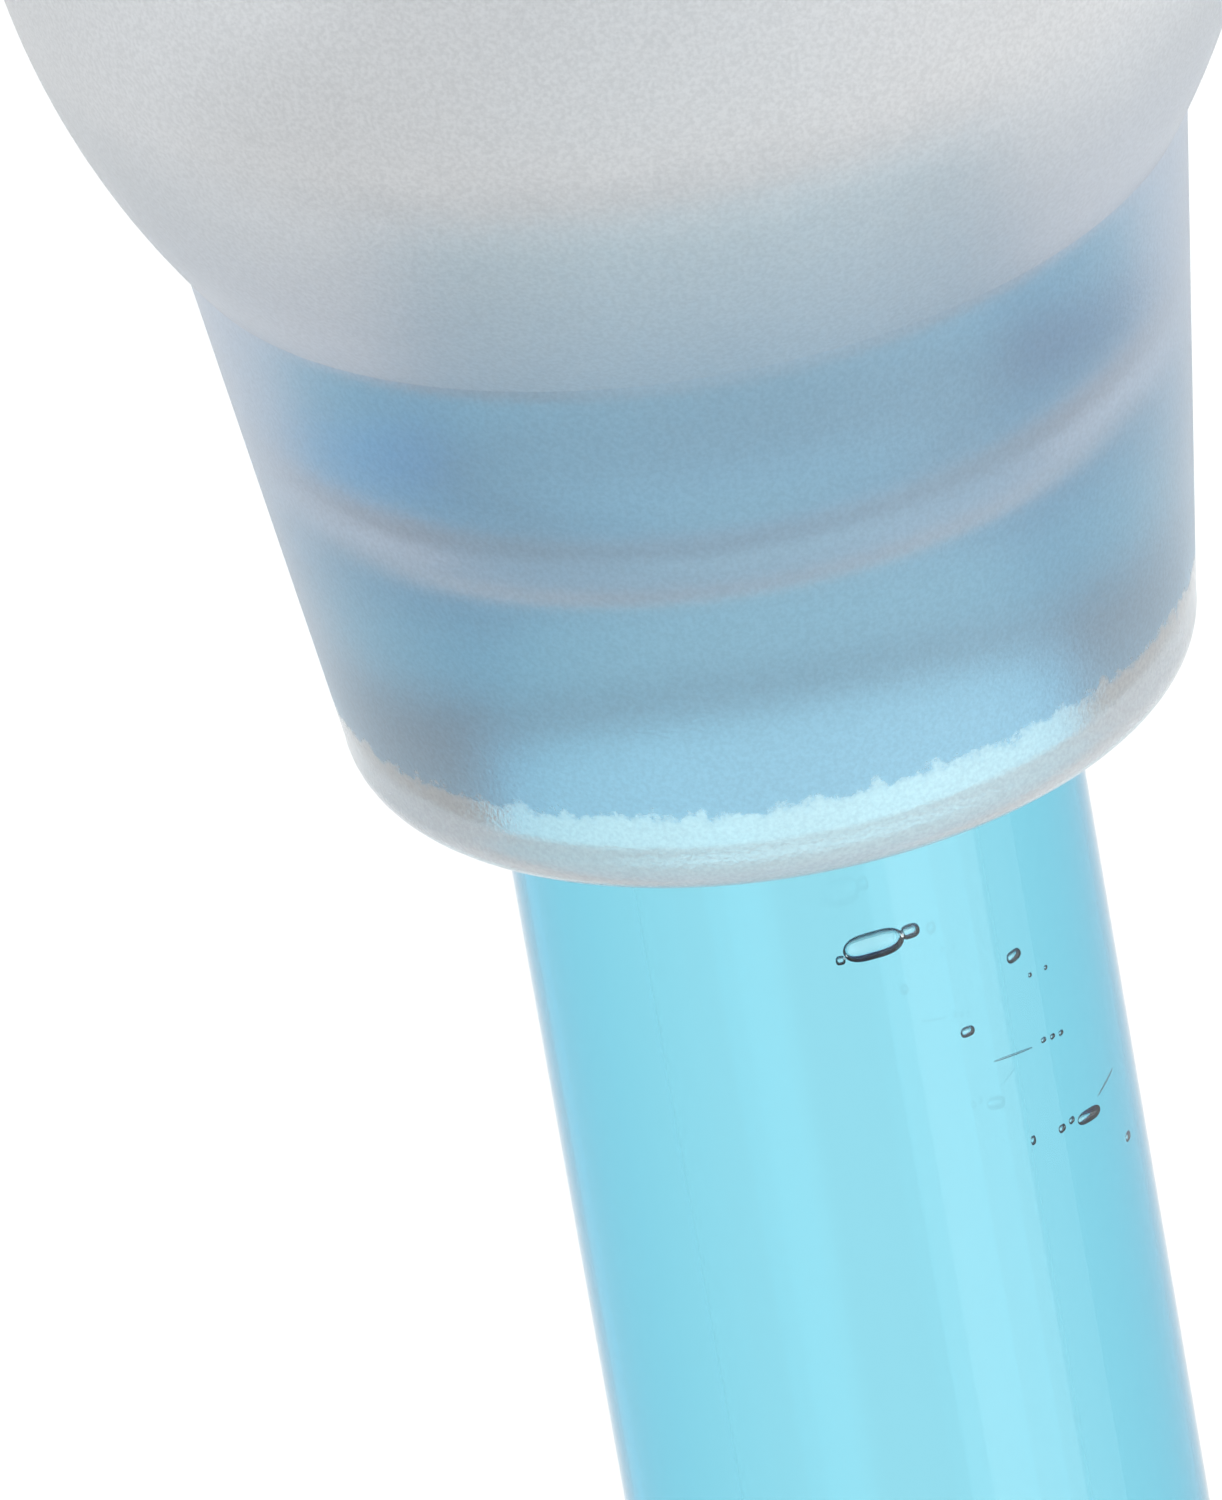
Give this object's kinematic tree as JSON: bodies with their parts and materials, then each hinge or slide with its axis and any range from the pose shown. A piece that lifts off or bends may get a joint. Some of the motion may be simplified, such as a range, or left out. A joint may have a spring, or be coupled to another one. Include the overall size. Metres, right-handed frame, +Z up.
{
  "type": "pipette filler",
  "caption": "Frosted silicone squeeze ball with pinch valves, a side arm with a blow-out bulb, and a ribbed collar gripping a blue-tinted glass pipette.",
  "frame": {"origin": "middle of the squeeze ball, where the hand holds the filler", "axes": "+Z up along the pipette and the air valve, +Y towards the side arm, +X to the right seen from the front"},
  "size_m": [0.056, 0.0767, 0.289],
  "materials": {
    "silicone": "frosted translucent",
    "valve_glass": "polished",
    "tinted_glass": "polished, blue tint"
  },
  "bodies": {
    "root": {"pipette_collar": "silicone", "suction_valve_stem": "silicone", "suction_valve_ball": "valve_glass", "squeeze_ball_shell": "silicone", "air_valve_stem": "silicone", "air_valve_ball": "valve_glass", "side_arm": "silicone", "empty_valve_ball": "valve_glass", "blow_out_bulb": "silicone"},
    "squeeze_wall_right": {"squeeze_wall_right": "silicone"},
    "squeeze_wall_left": {"squeeze_wall_left": "silicone"},
    "blow_out_wall_right": {"blow_out_wall_right": "silicone"},
    "blow_out_wall_left": {"blow_out_wall_left": "silicone"},
    "suction_pad_right": {"suction_pad_right": "silicone"},
    "suction_pad_left": {"suction_pad_left": "silicone"},
    "air_pad_right": {"air_pad_right": "silicone"},
    "air_pad_left": {"air_pad_left": "silicone"},
    "empty_pad_right": {"empty_pad_right": "silicone"},
    "empty_pad_left": {"empty_pad_left": "silicone"},
    "pipette": {"pipette_tube": "tinted_glass"}
  },
  "joints": [
    {"name": "ball_squeeze_right", "type": "slide", "parent": "root", "child": "squeeze_wall_right", "axis": [-1, 0, 0], "range_m": [0, 0.012], "stiffness_N_per_m": 600},
    {"name": "ball_squeeze_left", "type": "slide", "parent": "root", "child": "squeeze_wall_left", "axis": [1, 0, 0], "range_m": [0, 0.012], "stiffness_N_per_m": 600},
    {"name": "blow_out_squeeze_right", "type": "slide", "parent": "root", "child": "blow_out_wall_right", "axis": [-1, 0, 0], "range_m": [0, 0.0035], "stiffness_N_per_m": 800},
    {"name": "blow_out_squeeze_left", "type": "slide", "parent": "root", "child": "blow_out_wall_left", "axis": [1, 0, 0], "range_m": [0, 0.0035], "stiffness_N_per_m": 800},
    {"name": "suction_pinch_right", "type": "slide", "parent": "root", "child": "suction_pad_right", "axis": [-1, 0, 0], "range_m": [0, 0.001], "stiffness_N_per_m": 500},
    {"name": "suction_pinch_left", "type": "slide", "parent": "root", "child": "suction_pad_left", "axis": [1, 0, 0], "range_m": [0, 0.001], "stiffness_N_per_m": 500},
    {"name": "air_pinch_right", "type": "slide", "parent": "root", "child": "air_pad_right", "axis": [-1, 0, 0], "range_m": [0, 0.001], "stiffness_N_per_m": 500},
    {"name": "air_pinch_left", "type": "slide", "parent": "root", "child": "air_pad_left", "axis": [1, 0, 0], "range_m": [0, 0.001], "stiffness_N_per_m": 500},
    {"name": "empty_pinch_right", "type": "slide", "parent": "root", "child": "empty_pad_right", "axis": [-1, 0, 0], "range_m": [0, 0.001], "stiffness_N_per_m": 500},
    {"name": "empty_pinch_left", "type": "slide", "parent": "root", "child": "empty_pad_left", "axis": [1, 0, 0], "range_m": [0, 0.001], "stiffness_N_per_m": 500},
    {"name": "pipette_pull_out", "type": "slide", "parent": "root", "child": "pipette", "axis": [0, 0, -1], "range_m": [0, 0.012]}
  ],
  "couplings": [
    {"joint": "ball_squeeze_left", "follows": "ball_squeeze_right", "ratio": 1},
    {"joint": "blow_out_squeeze_left", "follows": "blow_out_squeeze_right", "ratio": 1},
    {"joint": "suction_pinch_left", "follows": "suction_pinch_right", "ratio": 1},
    {"joint": "air_pinch_left", "follows": "air_pinch_right", "ratio": 1},
    {"joint": "empty_pinch_left", "follows": "empty_pinch_right", "ratio": 1}
  ]
}
